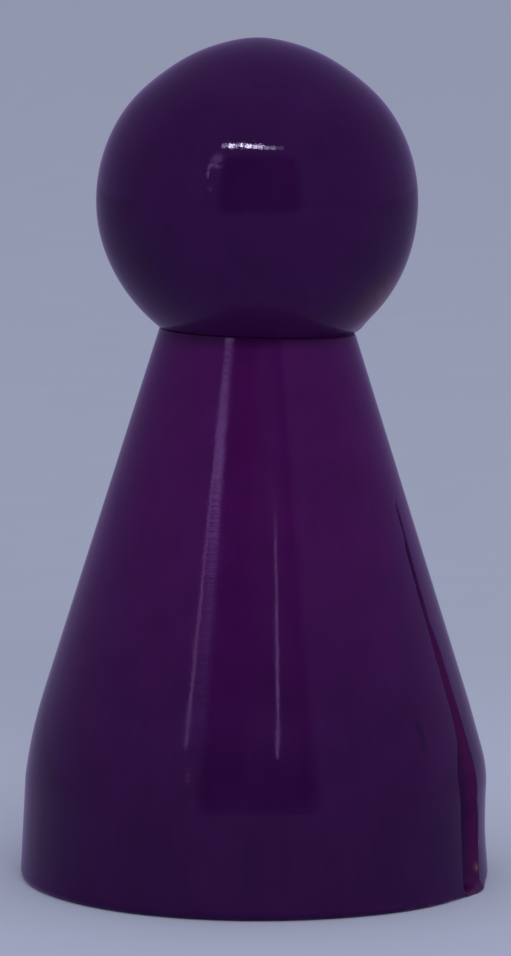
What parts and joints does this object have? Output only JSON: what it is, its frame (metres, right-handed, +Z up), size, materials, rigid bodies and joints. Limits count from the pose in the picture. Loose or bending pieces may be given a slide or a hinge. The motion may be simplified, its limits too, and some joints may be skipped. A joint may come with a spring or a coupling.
{
  "type": "game token",
  "caption": "Turned wooden pawn in glossy purple lacquer: ball head glued on a tapering cone with a short upright foot, to mark a player's place on a game board.",
  "frame": {"origin": "centre of the foot's underside, on the turning axis, where the token stands", "axes": "+Z up along the turning axis; the side that the picture shows faces -Y, so the split in the foot is on its right, towards +X"},
  "size_m": [0.014, 0.014, 0.025],
  "materials": {
    "lacquered_body": "turned beech, purple gloss lacquer, worn at the rim",
    "lacquered_head": "turned beech, purple gloss lacquer",
    "dowel_wood": "bare beech dowel, sanded"
  },
  "bodies": {
    "root": {"cone_body": "lacquered_body", "ball_head": "lacquered_head", "neck_dowel": "dowel_wood"}
  },
  "joints": []
}
